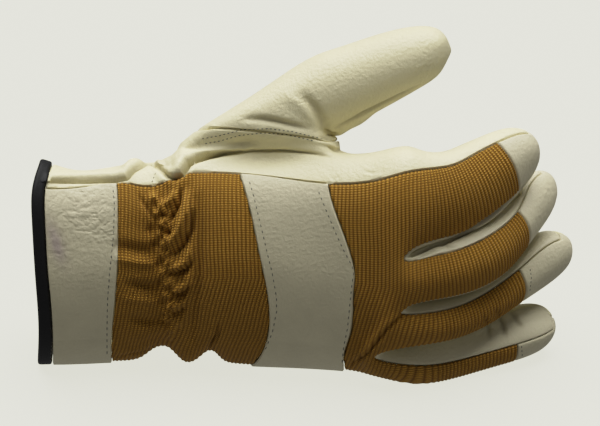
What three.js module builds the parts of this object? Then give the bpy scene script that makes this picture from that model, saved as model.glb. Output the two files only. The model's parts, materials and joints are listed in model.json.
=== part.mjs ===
// A right-hand work glove with a leather palm, a ribbed fabric back and a shirred wrist.
// It lies on its little-finger edge with the thumb up, filled out as if a hand had just left it.
// X runs from the cuff to the fingertips, Z is up, and the back of the hand faces -Y.
// One smooth skin is subdivided from a cage of tables, then cut along its seams into panels,
// and each panel is given the wall of its own material.
import * as THREE from "three";

// Driving dimensions, in millimetres
const leatherWall = 1.8;
const fabricWall = 1.6;
const bindingWall = 3.2;
const seamGap = 0.36; // between the edges of two sewn panels
const strapLift = 0.9; // the leather strap and cuff band are sewn on top of the fabric
const bindingLift = 0.7; // the edge tape stands proud of the cuff
const floorHeight = 0; // the soft glove is flattened here, where it rests

// Sections of the sleeve and hand, from the cuff to the roots of the fingers. seamAngle is where
// the back panel meets the palm above the forefinger, in degrees up from the back's direction.
const handSections = [
  { x: -115, yMid: 19.0, zMid: 47.8, halfBreadth: 51.5, halfDepth: 24.5, seamAngle: 74 },
  { x: -110, yMid: 19.0, zMid: 47.2, halfBreadth: 50.8, halfDepth: 24.5, seamAngle: 75 },
  { x: -97, yMid: 19.6, zMid: 44.2, halfBreadth: 47.8, halfDepth: 25.0, seamAngle: 77 },
  { x: -82, yMid: 20.8, zMid: 45.4, halfBreadth: 49.0, halfDepth: 25.0, seamAngle: 72 },
  { x: -71, yMid: 20.6, zMid: 47.0, halfBreadth: 50.2, halfDepth: 25.5, seamAngle: 67 },
  { x: -62, yMid: 21.0, zMid: 49.4, halfBreadth: 49.6, halfDepth: 24.0, seamAngle: 65 },
  { x: -51, yMid: 19.0, zMid: 50.2, halfBreadth: 52.8, halfDepth: 26.5, seamAngle: 69 },
  { x: -26, yMid: 17.5, zMid: 48.5, halfBreadth: 52.0, halfDepth: 27.5, seamAngle: 74 },
  { x: -5, yMid: 16.5, zMid: 49.2, halfBreadth: 52.4, halfDepth: 27.0, seamAngle: 67 },
  { x: 15, yMid: 13.5, zMid: 51.0, halfBreadth: 54.2, halfDepth: 26.5, seamAngle: 59 },
  { x: 32, yMid: 9.5, zMid: 52.4, halfBreadth: 56.0, halfDepth: 26.0, seamAngle: 59 },
  { x: 45, yMid: 5.8, zMid: 55.6, halfBreadth: 59.8, halfDepth: 26.6, seamAngle: 61 },
];

// Where the back's nine lengthwise lines cross a section that follows a seam: their own x
const backLineX = {
  0: [-116.6, -116.2, -115.4, -115.0, -114.6, -114.6, -115.2, -116.4, -116.8],
  1: [-113.0, -112.4, -111.4, -110.4, -109.6, -109.4, -109.8, -111.0, -111.4],
  3: [-76.4, -76.0, -76.4, -77.4, -79.0, -80.8, -82.4, -83.0, -83.2],
  6: [-51.0, -51.0, -50.5, -50.0, -48.5, -46.0, -42.5, -39.5, -39.5],
  7: [-26.0, -18.8, -12.4, -9.0, -6.6, -6.8, -10.2, -19.2, -25.8],
  9: [10.3, 17.2, 29.6, 26.8, 27.8, 26.8, 23.2, 24.0, 22.6],
  10: [31.0, 32.0, 37.5, 36.0, 35.0, 32.0, 25.4, 29.0, 32.0],
  11: [44.0, 45.0, 42.8, 45.5, 41.4, 38.5, 29.0, 38.0, 44.0],
};
// The same for the eleven lines round the palm, from the little finger's edge to the thumb's side
const palmLineX = {
  0: [-115, -115, -115, -115, -115, -115, -115, -115, -115, -114, -112.5],
  1: [-110, -110, -110, -110, -110, -110, -110, -110, -110, -109.5, -108.5],
  6: [-39.5, -42, -46, -49, -51, -51, -51, -51, -51, -51, -51],
  9: [18, 18, 18, 18, 18, 18, 17, 15, 15, 15, 13],
  11: [45, 46, 49, 53, 55, 57, 56, 56, 53, 49, 46],
};

// How far round each line lies: from the forefinger's seam (0) over the back to the little
// finger's seam (1), and from there round the palm to the forefinger's seam again
const littleSeamAngle = -92;
const backShares = [0, 0.135, 0.3, 0.38, 0.47, 0.556, 0.645, 0.816, 1];
const palmShares = [0.087, 0.168, 0.216, 0.266, 0.322, 0.38, 0.445, 0.51, 0.606, 0.71, 0.856];

// Each finger as sections along its length, up to a point at the tip. halfWidth is across the
// finger, backDepth and palmDepth are from its centre line to its back and its palm side.
// roll turns its back up from -Y, seamUp and seamDown are where its back panel ends on the side
// towards the forefinger and towards the little finger, all in degrees. capStart is where the
// leather tip begins, and lean tilts a section, in millimetres along the finger.
const fingers = [
  {
    name: "forefinger", roll: 14, seamUp: 55, seamDown: 62, capStart: 4, tip: [105.0, 35.0, 100.4],
    sections: [
      { x: 56, y: 4.0, z: 89.4, halfWidth: 19.0, backDepth: 14.0, palmDepth: 18.0 },
      { x: 68, y: 6.5, z: 90.2, halfWidth: 17.6, backDepth: 13.8, palmDepth: 16.5 },
      { x: 78, y: 13.0, z: 93.0, halfWidth: 16.6, backDepth: 13.5, palmDepth: 15.0 },
      { x: 88, y: 21.0, z: 96.6, halfWidth: 14.2, backDepth: 12.8, palmDepth: 13.0 },
      { x: 96, y: 27.6, z: 98.4, halfWidth: 12.4, backDepth: 11.6, palmDepth: 11.6 },
      { x: 101.5, y: 31.8, z: 99.6, halfWidth: 7.8, backDepth: 7.6, palmDepth: 7.6 },
    ],
  },
  {
    name: "middle", roll: 6, seamUp: 58, seamDown: 60, capStart: 4, tip: [112.5, 48.0, 77.5],
    sections: [
      { x: 55, y: -2.5, z: 56.4, halfWidth: 14.4, backDepth: 13.8, palmDepth: 19.0 },
      { x: 70, y: -0.8, z: 57.9, halfWidth: 14.4, backDepth: 13.6, palmDepth: 17.0 },
      { x: 83, y: 5.5, z: 61.2, halfWidth: 14.0, backDepth: 13.2, palmDepth: 15.0 },
      { x: 93.5, y: 18.0, z: 64.2, halfWidth: 13.0, backDepth: 12.6, palmDepth: 13.5, lean: 5 },
      { x: 102.0, y: 33.0, z: 71.6, halfWidth: 12.2, backDepth: 12.0, palmDepth: 12.0 },
      { x: 108.5, y: 42.5, z: 75.6, halfWidth: 8.2, backDepth: 8.0, palmDepth: 8.0 },
    ],
  },
  {
    name: "ring", roll: -6, seamUp: 58, seamDown: 58, capStart: 4, tip: [122.5, 38.0, 50.2],
    sections: [
      { x: 54, y: -5.0, z: 32.6, halfWidth: 11.8, backDepth: 12.8, palmDepth: 15.0 },
      { x: 68, y: -1.0, z: 33.2, halfWidth: 11.6, backDepth: 12.6, palmDepth: 14.0 },
      { x: 80, y: 7.0, z: 35.2, halfWidth: 11.8, backDepth: 12.4, palmDepth: 14.0 },
      { x: 93, y: 18.5, z: 38.4, halfWidth: 12.2, backDepth: 12.2, palmDepth: 13.0, lean: 2 },
      { x: 107, y: 29.0, z: 44.2, halfWidth: 13.4, backDepth: 12.0, palmDepth: 12.0 },
      { x: 117.5, y: 34.8, z: 47.4, halfWidth: 9.6, backDepth: 8.0, palmDepth: 8.0 },
    ],
  },
  {
    name: "little", roll: -38, seamUp: 52, seamDown: 54, capStart: 4, tip: [115.0, 29.0, 13.8],
    sections: [
      { x: 50, y: 3.0, z: 10.6, halfWidth: 11.2, backDepth: 16.0, palmDepth: 11.5 },
      { x: 66, y: 7.2, z: 10.6, halfWidth: 11.2, backDepth: 14.6, palmDepth: 11.5 },
      { x: 80, y: 11.5, z: 10.9, halfWidth: 11.6, backDepth: 12.6, palmDepth: 11.8 },
      { x: 92, y: 16.0, z: 11.8, halfWidth: 12.2, backDepth: 12.4, palmDepth: 12.4 },
      { x: 103, y: 21.0, z: 12.9, halfWidth: 12.8, backDepth: 12.2, palmDepth: 12.0 },
      { x: 110, y: 25.6, z: 13.4, halfWidth: 9.4, backDepth: 8.4, palmDepth: 8.0 },
    ],
  },
];
// The fold of leather between two fingers, half way from the back to the palm. The two fingers
// are narrower where they lie side by side, by this share of their width.
const crotches = [
  { x: 49, y: 5, z: 71.5, narrow: 0.9 },
  { x: 49, y: 4, z: 44.5, narrow: 0.76 },
  { x: 42, y: 5, z: 20, narrow: 0.76 },
];

// The thumb leaves the hand between two sections, on the forefinger's side of the palm
const thumbFrom = 6;
const thumbTo = 9;
const thumbTip = [68.0, 42.0, 143.4];
const thumbSeam = { share: 0.34, tilt: 0.15 }; // how far up the flare the seam is, front and heel
const thumbRootBulge = { front: 3, heel: 14 };
const thumbSections = [
  { x: 3, y: 36.0, z: 121.2, halfHeight: 17.4, halfDepth: 15.4 },
  { x: 21, y: 38.0, z: 126.4, halfHeight: 16.8, halfDepth: 15.0 },
  { x: 38, y: 40.0, z: 134.0, halfHeight: 15.2, halfDepth: 14.4 },
  { x: 51.5, y: 41.0, z: 139.4, halfHeight: 13.4, halfDepth: 13.0 },
  { x: 61, y: 41.6, z: 142.0, halfHeight: 10.6, halfDepth: 9.8 },
];

// Dents and swellings of the soft skin: depth is pushed in along the skin's normal, and a minus
// sign swells it. The reach is the distance over which each one dies away.
const dents = [
  { what: "elastic, under the wrist", x: -60, y: 14, z: 0, reachX: 8, reachY: 22, reachZ: 14, depth: 5.5 },
  { what: "fold beside the elastic", x: -39.5, y: 10, z: 0, reachX: 5.5, reachY: 22, reachZ: 12, depth: 5 },
  { what: "bulge between those two", x: -50, y: -3, z: 5, reachX: 6, reachY: 14, reachZ: 14, depth: -5.5 },
  { what: "crease under the thumb", x: -8, y: 22, z: 103, reachX: 24, reachY: 9, reachZ: 7, depth: 3 },
  { what: "hollow before the forefinger", x: 33, y: 28, z: 96, reachX: 9, reachY: 14, reachZ: 10, depth: 2.5 },
];
// The shirred line across the back of the wrist: its x, its depth, and the puckers beside it
const shirring = { x: -61, depth: 2.6, reach: 6, puckerDepth: 1.7, puckerReach: 13, puckerPitch: 15 };

const degrees = Math.PI / 180;
const vector = (x, y, z) => new THREE.Vector3(x, y, z);
// A ring of n cage points ends up smaller once it is smoothed, and this makes up for it
const plump = (n) => 1 / (2 / 3 + Math.cos((2 * Math.PI) / n) / 3);

const cage = { points: [], faces: [] };
const addPoint = (p) => cage.points.push(p.clone()) - 1;
const addFace = (corners, panel) => cage.faces.push({ corners, panel });

// One closed ring of the hand: nine lines over the back, then eleven round the palm
function handRing(section, index) {
  const grow = plump(22);
  const span = section.seamAngle - littleSeamAngle;
  const backAngles = backShares.map((share) => section.seamAngle - span * share);
  const palmAngles = palmShares.map((share) => littleSeamAngle - (360 - span) * share);
  const xs = [
    ...(backLineX[index] ?? backShares.map(() => section.x)),
    ...(palmLineX[index] ?? palmShares.map(() => section.x)),
  ];
  return [...backAngles, ...palmAngles].map((angle, line) =>
    addPoint(
      vector(
        xs[line],
        section.yMid - grow * section.halfDepth * Math.cos(angle * degrees),
        section.zMid + grow * section.halfBreadth * Math.sin(angle * degrees),
      ),
    ),
  );
}

// Joins two rings of the same length with faces that point outwards
function joinRings(near, far, panelOf) {
  near.forEach((_, i) => {
    const j = (i + 1) % near.length;
    const panel = panelOf(i);
    if (panel) addFace([near[i], near[j], far[j], far[i]], panel);
  });
}

const backPanels = [
  "cuff_binding", "cuff_band", "cuff_band", "wrist_fabric", "wrist_fabric", "wrist_fabric",
  "wrist_fabric", "knuckle_strap", "knuckle_strap", "finger_fabric", "finger_fabric",
];
const linesOverBack = backShares.length;
const thumbLines = [16, 17, 18]; // the strips of the palm that the thumb's opening takes
const isThumbOpening = (segment, line) =>
  segment >= thumbFrom && segment < thumbTo && thumbLines.includes(line);

const handRings = handSections.map(handRing);
handRings.slice(1).forEach((far, segment) =>
  joinRings(handRings[segment], far, (line) => {
    if (isThumbOpening(segment, line)) return null;
    if (segment === 0) return "cuff_binding";
    return line < linesOverBack - 1 ? backPanels[segment] : "palm_leather";
  }),
);

// The directions across a tube at each of its sections: its back, and its side towards +Z
function tubeFrames(centres, backwards) {
  return centres.map((centre, i) => {
    const before = centres[Math.max(i - 1, 0)];
    const after = centres[Math.min(i + 1, centres.length - 1)];
    const along = after.clone().sub(before).normalize();
    const back = backwards.clone().addScaledVector(along, -backwards.dot(along)).normalize();
    return { centre, back, side: back.clone().cross(along) };
  });
}

const palmSeamAngle = 130; // where a finger's sides end at its palm side
const rootRing = handRings[handRings.length - 1];
const [ulnarLine, radialLine] = [linesOverBack, rootRing.length - 1];
const crotchPoints = [
  rootRing[radialLine],
  ...crotches.map((c) => addPoint(vector(c.x, c.y, c.z))),
  rootRing[ulnarLine],
];

function addFinger(finger, k) {
  const palmLine = (n) => rootRing[radialLine - 1 - n];
  const first = 2 * k;
  let near = [
    rootRing[first], rootRing[first + 1], rootRing[first + 2], crotchPoints[k + 1],
    palmLine(first + 2), palmLine(first + 1), palmLine(first), crotchPoints[k],
  ];
  const tip = vector(...finger.tip);
  const roll = finger.roll * degrees;
  const centres = [...finger.sections.map((s) => vector(s.x, s.y, s.z)), tip];
  const frames = tubeFrames(centres, vector(0, -Math.cos(roll), Math.sin(roll)));
  const grow = plump(8);
  const ringAngles = [
    finger.seamUp, 0, -finger.seamDown, -(finger.seamDown + palmSeamAngle) / 2,
    -palmSeamAngle, 180, palmSeamAngle, (finger.seamUp + palmSeamAngle) / 2,
  ];
  const backPanel = (step) => (step >= finger.capStart ? `${finger.name}_tip` : "finger_fabric");
  const sidePanel = (edge) => {
    const nextCrotch = edge === 2 || edge === 3 ? k : k - 1;
    return nextCrotch < 0 || nextCrotch > 2 ? "palm_leather" : `fourchette_${nextCrotch + 1}`;
  };
  const panelAt = (step) => (edge) => {
    if (edge < 2) return backPanel(step);
    return edge === 4 || edge === 5 ? "palm_leather" : sidePanel(edge);
  };
  finger.sections.forEach((section, step) => {
    const { centre, back, side } = frames[step];
    const far = ringAngles.map((angle, i) => {
      const up = Math.cos(angle * degrees);
      const depth = up > 0 ? section.backDepth : section.palmDepth;
      const beside = { 3: crotches[k], 7: crotches[k - 1] }[i];
      const across = Math.sin(angle * degrees) * (beside?.narrow ?? 1);
      const point = centre.clone().addScaledVector(side, grow * section.halfWidth * across);
      point.addScaledVector(back, grow * depth * up);
      point.x += (section.lean ?? 0) * across;
      return addPoint(point);
    });
    joinRings(near, far, panelAt(step));
    near = far;
  });
  const end = addPoint(tip);
  addFace([near[0], near[1], end, near[7]], `${finger.name}_tip`);
  addFace([near[1], near[2], near[3], end], `${finger.name}_tip`);
  addFace([near[3], near[4], near[5], end], "palm_leather");
  addFace([end, near[5], near[6], near[7]], "palm_leather");
}
fingers.forEach(addFinger);

// The thumb: a twelve-sided tube on the edge of its opening, closed by a grid of nine faces
function addThumb() {
  const [lineNear, lineFar] = [radialLine, radialLine - 3];
  const steps = [0, 1, 2, 3].map((n) => thumbFrom + n);
  const opening = [
    ...steps.map((s) => handRings[s][lineNear]),
    handRings[thumbTo][radialLine - 1],
    handRings[thumbTo][radialLine - 2],
    ...steps.map((s) => handRings[s][lineFar]).reverse(),
    handRings[thumbFrom][radialLine - 2],
    handRings[thumbFrom][radialLine - 1],
  ];
  const tip = vector(...thumbTip);
  const centres = [...thumbSections.map((s) => vector(s.x, s.y, s.z)), tip];
  const frames = tubeFrames(centres, vector(0, -1, 0));
  const grow = plump(12);
  const rings = thumbSections.map((section, n) => {
    const { centre, back, side } = frames[n];
    return opening.map((_, i) => {
      const angle = (-45 + 30 * i) * degrees;
      return centre
        .clone()
        .addScaledVector(back, grow * section.halfDepth * Math.cos(angle))
        .addScaledVector(side, -grow * section.halfHeight * Math.sin(angle));
    });
  });
  const rootCentre = vector(0, 0, 0);
  opening.forEach((p) => rootCentre.addScaledVector(cage.points[p], 1 / opening.length));
  rootCentre.lerp(centres[0], thumbSeam.share);
  const root = opening.map((p, i) => {
    const forwards = Math.sin((-45 + 30 * i) * degrees);
    const share = thumbSeam.share + thumbSeam.tilt * forwards;
    const middle = cage.points[p].clone().lerp(rings[0][i], share);
    const outwards = middle.clone().sub(rootCentre).normalize();
    const { front, heel } = thumbRootBulge;
    return middle.addScaledVector(outwards, front + (heel - front) * Math.max(0, -forwards));
  });
  let near = opening;
  [root, ...rings].forEach((ring, n) => {
    const far = ring.map(addPoint);
    joinRings(near, far, () => (n === 0 ? "palm_leather" : "thumb_leather"));
    near = far;
  });
  // The ring's points as the edge of a four by four grid, corner to corner
  const edge = [
    [near[0], near[1], near[2], near[3]],
    [near[11], null, null, near[4]],
    [near[10], null, null, near[5]],
    [near[9], near[8], near[7], near[6]],
  ];
  const grid = edge.map((row, r) =>
    row.map((p, c) => {
      if (p !== null) return p;
      const across = [edge[r][0], edge[r][3], edge[0][c], edge[3][c]];
      const middle = vector(0, 0, 0);
      across.forEach((q) => middle.addScaledVector(cage.points[q], 1 / 4));
      return addPoint(middle.lerp(tip, 0.75));
    }),
  );
  for (let r = 0; r < 3; r++)
    for (let c = 0; c < 3; c++)
      addFace([grid[r][c], grid[r][c + 1], grid[r + 1][c + 1], grid[r + 1][c]], "thumb_leather");
}
addThumb();

// Catmull-Clark subdivision of a quad mesh, open at the cuff
const edgeKey = (a, b) => (a < b ? `${a}_${b}` : `${b}_${a}`);

function edgesOf(mesh) {
  const edges = new Map();
  mesh.faces.forEach((face, f) =>
    face.corners.forEach((a, i) => {
      const b = face.corners[(i + 1) % 4];
      const key = edgeKey(a, b);
      if (!edges.has(key)) edges.set(key, { a, b, faces: [] });
      edges.get(key).faces.push(f);
    }),
  );
  return edges;
}

const meanOf = (points) =>
  points.reduce((sum, p) => sum.add(p), vector(0, 0, 0)).divideScalar(points.length);

function subdivide(mesh) {
  const edges = edgesOf(mesh);
  const facePoints = mesh.faces.map((f) => meanOf(f.corners.map((c) => mesh.points[c])));
  const around = mesh.points.map(() => ({ edges: [], faces: [] }));
  edges.forEach((edge) => [edge.a, edge.b].forEach((p) => around[p].edges.push(edge)));
  mesh.faces.forEach((face, f) => face.corners.forEach((c) => around[c].faces.push(f)));
  const points = mesh.points.map((p, i) => {
    const rim = around[i].edges.filter((e) => e.faces.length === 1);
    const middles = (list) => list.map((e) => mesh.points[e.a].clone().lerp(mesh.points[e.b], 0.5));
    if (rim.length) return p.clone().lerp(meanOf(middles(rim)), 0.5);
    const n = around[i].edges.length;
    const faceMean = meanOf(around[i].faces.map((f) => facePoints[f]));
    const edgeMean = meanOf(middles(around[i].edges));
    return p.clone().multiplyScalar((n - 3) / n).addScaledVector(faceMean, 1 / n).addScaledVector(edgeMean, 2 / n);
  });
  const faceStart = points.length;
  points.push(...facePoints);
  const edgePoint = new Map();
  edges.forEach((edge, key) => {
    const ends = [mesh.points[edge.a], mesh.points[edge.b]];
    const inner = edge.faces.length === 2 ? edge.faces.map((f) => facePoints[f]) : [];
    edgePoint.set(key, points.push(meanOf([...ends, ...inner])) - 1);
  });
  const faces = mesh.faces.flatMap((face, f) =>
    face.corners.map((c, i) => {
      const after = edgePoint.get(edgeKey(c, face.corners[(i + 1) % 4]));
      const before = edgePoint.get(edgeKey(c, face.corners[(i + 3) % 4]));
      return { corners: [c, after, faceStart + f, before], panel: face.panel };
    }),
  );
  return { points, faces };
}

// Moves each point to where endless subdivision would put it
function toLimit(mesh) {
  const edges = edgesOf(mesh);
  const near = mesh.points.map(() => []);
  const diagonal = mesh.points.map(() => []);
  edges.forEach(({ a, b, faces }) => {
    near[a].push({ p: b, rim: faces.length === 1 });
    near[b].push({ p: a, rim: faces.length === 1 });
  });
  mesh.faces.forEach(({ corners }) => corners.forEach((c, i) => diagonal[c].push(corners[(i + 2) % 4])));
  const points = mesh.points.map((p, i) => {
    const rim = near[i].filter((e) => e.rim).map((e) => mesh.points[e.p]);
    if (rim.length) return p.clone().multiplyScalar(2 / 3).addScaledVector(meanOf(rim), 1 / 3);
    const n = near[i].length;
    const sum = p.clone().multiplyScalar(n * n);
    near[i].forEach((e) => sum.addScaledVector(mesh.points[e.p], 4));
    diagonal[i].forEach((d) => sum.add(mesh.points[d]));
    return sum.divideScalar(n * (n + 5));
  });
  return { points, faces: mesh.faces };
}

function normalsOf(mesh) {
  const normals = mesh.points.map(() => vector(0, 0, 0));
  mesh.faces.forEach(({ corners }) => {
    const [a, b, c, d] = corners.map((i) => mesh.points[i]);
    const normal = c.clone().sub(a).cross(d.clone().sub(b));
    corners.forEach((i) => normals[i].add(normal));
  });
  return normals.map((n) => n.normalize());
}

const bell = (distance, reach) => Math.exp(-((distance / reach) ** 2));

// Presses the folds, the shirred wrist and the flat underside into the skin
function shapeSkin(mesh) {
  const normals = normalsOf(mesh);
  const points = mesh.points.map((p, i) => {
    let push = 0;
    dents.forEach((dent) => {
      const near = bell(p.x - dent.x, dent.reachX) * bell(p.y - dent.y, dent.reachY);
      push += dent.depth * near * bell(p.z - dent.z, dent.reachZ);
    });
    const onBack = Math.max(0, -normals[i].y);
    const wave = Math.cos((2 * Math.PI * p.z) / shirring.puckerPitch);
    push += onBack * shirring.depth * bell(p.x - shirring.x, shirring.reach);
    push += onBack * shirring.puckerDepth * wave * bell(p.x - shirring.x, shirring.puckerReach);
    const moved = p.clone().addScaledVector(normals[i], -push);
    moved.z = Math.max(moved.z, floorHeight);
    return moved;
  });
  return { points, faces: mesh.faces };
}

const skin = shapeSkin(toLimit(subdivide(cage)));
const skinNormals = normalsOf(skin);

const leather = (color) => new THREE.MeshStandardMaterial({ color, roughness: 0.62, metalness: 0 });
const cloth = (color) => new THREE.MeshStandardMaterial({ color, roughness: 0.9, metalness: 0 });
const paleLeather = leather(0xd9d3b4);
const greyLeather = leather(0xc4c1ab);
const tanFabric = cloth(0xb27a2c);
const blackTape = cloth(0x1b1b1c);

const tipPanels = fingers.map((f) => `${f.name}_tip`);
const panelBuild = {
  palm_leather: { wall: leatherWall, lift: 0, material: paleLeather },
  thumb_leather: { wall: leatherWall, lift: 0, material: paleLeather },
  cuff_band: { wall: leatherWall + strapLift, lift: strapLift, material: greyLeather },
  knuckle_strap: { wall: leatherWall + strapLift, lift: strapLift, material: greyLeather },
  wrist_fabric: { wall: fabricWall, lift: 0, material: tanFabric },
  finger_fabric: { wall: fabricWall, lift: 0, material: tanFabric },
  cuff_binding: { wall: bindingWall, lift: bindingLift, material: blackTape },
  ...Object.fromEntries(tipPanels.map((n) => [n, { wall: leatherWall, lift: 0, material: greyLeather }])),
  ...Object.fromEntries(
    crotches.map((_, i) => [`fourchette_${i + 1}`, { wall: leatherWall, lift: 0, material: greyLeather }]),
  ),
};

// How far a panel's edge points draw back from the seam: each moves along the skin towards a
// neighbour inside the panel, so that two sewn panels never share any space
function seamPulls(faces, edges) {
  const rimOf = new Map();
  const insideOf = new Map();
  const add = (map, p, q) => map.set(p, [...(map.get(p) ?? []), q]);
  edges.forEach(({ a, b, faces: sides }) => {
    const map = sides.length === 1 ? rimOf : insideOf;
    add(map, a, b);
    add(map, b, a);
  });
  const diagonal = new Map();
  faces.forEach(({ corners }) => corners.forEach((c, i) => diagonal.set(c, corners[(i + 2) % 4])));
  const pulls = new Map();
  rimOf.forEach((rim, p) => {
    const goals = insideOf.get(p) ?? [diagonal.get(p)];
    const goal = meanOf(goals.map((q) => skin.points[q].clone()));
    const along = goal.sub(skin.points[p]);
    const reach = along.length();
    along.normalize();
    const sines = rim.map((q) => {
      const edge = skin.points[q].clone().sub(skin.points[p]).normalize();
      return edge.cross(along).length();
    });
    const distance = seamGap / 2 / Math.max(Math.min(...sines), 0.2);
    pulls.set(p, { goals, share: Math.min(distance / reach, 0.4) });
  });
  return pulls;
}

// One panel as a closed solid: its outside, its inside one wall further in, and its cut edge
function panelGeometry(panel, { wall, lift }) {
  const faces = skin.faces.filter((f) => f.panel === panel);
  const edges = edgesOf({ faces });
  const pulls = seamPulls(faces, edges);
  const positions = [];
  const place = (p) => positions.push(p.x, p.y, p.z) / 3 - 1;
  const layer = (offset) => {
    const at = (p) => {
      const point = skin.points[p].clone().addScaledVector(skinNormals[p], offset);
      point.z = Math.max(point.z, floorHeight);
      return point;
    };
    const placed = new Map();
    faces.forEach(({ corners }) =>
      corners.forEach((p) => {
        if (placed.has(p)) return;
        const pull = pulls.get(p);
        placed.set(p, place(pull ? at(p).lerp(meanOf(pull.goals.map(at)), pull.share) : at(p)));
      }),
    );
    return placed;
  };
  const outer = layer(lift);
  const inner = layer(lift - wall);
  const triangles = [];
  const quad = (a, b, c, d) => triangles.push(a, b, c, a, c, d);
  faces.forEach(({ corners }) => {
    quad(...corners.map((p) => outer.get(p)));
    const [a, b, c, d] = corners.map((p) => inner.get(p));
    triangles.push(a, c, b, a, d, c);
    corners.forEach((p, i) => {
      const q = corners[(i + 1) % 4];
      if (edges.get(edgeKey(p, q)).faces.length > 1) return;
      const rim = [outer.get(p), inner.get(p), inner.get(q), outer.get(q)];
      quad(...(p < q ? rim : [rim[1], rim[2], rim[3], rim[0]]));
    });
  });
  const geometry = new THREE.BufferGeometry();
  geometry.setAttribute("position", new THREE.Float32BufferAttribute(positions, 3));
  geometry.setIndex(triangles);
  geometry.computeVertexNormals();
  return geometry;
}

const glove = new THREE.Group();
Object.entries(panelBuild).forEach(([name, build]) => {
  const mesh = new THREE.Mesh(panelGeometry(name, build), build.material);
  mesh.name = name;
  glove.add(mesh);
});

// The origin is under the middle of the glove, on the surface that it rests on
const box = new THREE.Box3().setFromObject(glove);
const middle = box.getCenter(vector(0, 0, 0));
glove.children.forEach((mesh) => mesh.geometry.translate(-middle.x, -middle.y, -box.min.z));

export default glove;
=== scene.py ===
import json
import math

import bmesh
import bpy
import numpy as np
from mathutils import Matrix, Vector
from mathutils.bvhtree import BVHTree
from mathutils.kdtree import KDTree

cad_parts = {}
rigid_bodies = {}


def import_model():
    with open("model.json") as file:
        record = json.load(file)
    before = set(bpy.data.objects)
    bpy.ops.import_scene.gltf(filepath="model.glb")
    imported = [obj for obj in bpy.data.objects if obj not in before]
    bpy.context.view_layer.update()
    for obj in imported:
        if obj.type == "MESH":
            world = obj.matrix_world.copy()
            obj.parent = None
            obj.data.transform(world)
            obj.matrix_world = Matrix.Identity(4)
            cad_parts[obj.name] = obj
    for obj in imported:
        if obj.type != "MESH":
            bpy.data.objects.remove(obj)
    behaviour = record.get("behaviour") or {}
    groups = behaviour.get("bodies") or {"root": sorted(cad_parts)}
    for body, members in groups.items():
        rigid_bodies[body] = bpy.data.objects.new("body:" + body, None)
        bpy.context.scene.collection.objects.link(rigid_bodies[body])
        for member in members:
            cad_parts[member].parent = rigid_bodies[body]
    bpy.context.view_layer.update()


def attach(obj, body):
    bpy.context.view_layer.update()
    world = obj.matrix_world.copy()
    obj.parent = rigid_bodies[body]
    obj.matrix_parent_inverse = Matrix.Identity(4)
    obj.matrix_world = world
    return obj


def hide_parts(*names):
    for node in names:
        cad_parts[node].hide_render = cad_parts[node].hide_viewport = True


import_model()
print("frame loaded")

millimetre = 0.001

# The photograph's view, from above the floor towards the back of the hand
camera = {
    "picture": (600, 426),  # pixels
    "target": (-2, -17, 83.5),  # mm
    "distance": 2000,
    "elevation": 30,  # degrees
    "pixels": 4620,  # focal length
    "sensor": 36,
    "farthest": 20,
}


def addObject(name, data):
    obj = bpy.data.objects.new(name, data)
    bpy.context.scene.collection.objects.link(obj)
    return obj


def viewDirections():
    # into the picture, and up in it
    tilt = math.radians(camera["elevation"])
    return (0, math.cos(tilt), -math.sin(tilt)), (0, math.sin(tilt), math.cos(tilt))


def makeCamera():
    data = bpy.data.cameras.new("camera")
    data.sensor_width = camera["sensor"]
    data.lens = camera["pixels"] * camera["sensor"] / camera["picture"][0]
    data.clip_end = camera["farthest"]
    obj = addObject("camera", data)
    toward = Vector(viewDirections()[0])
    obj.location = (Vector(camera["target"]) - toward * camera["distance"]) * millimetre
    obj.rotation_euler = (math.radians(90 - camera["elevation"]), 0, 0)
    bpy.context.scene.camera = obj


makeCamera()

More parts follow.
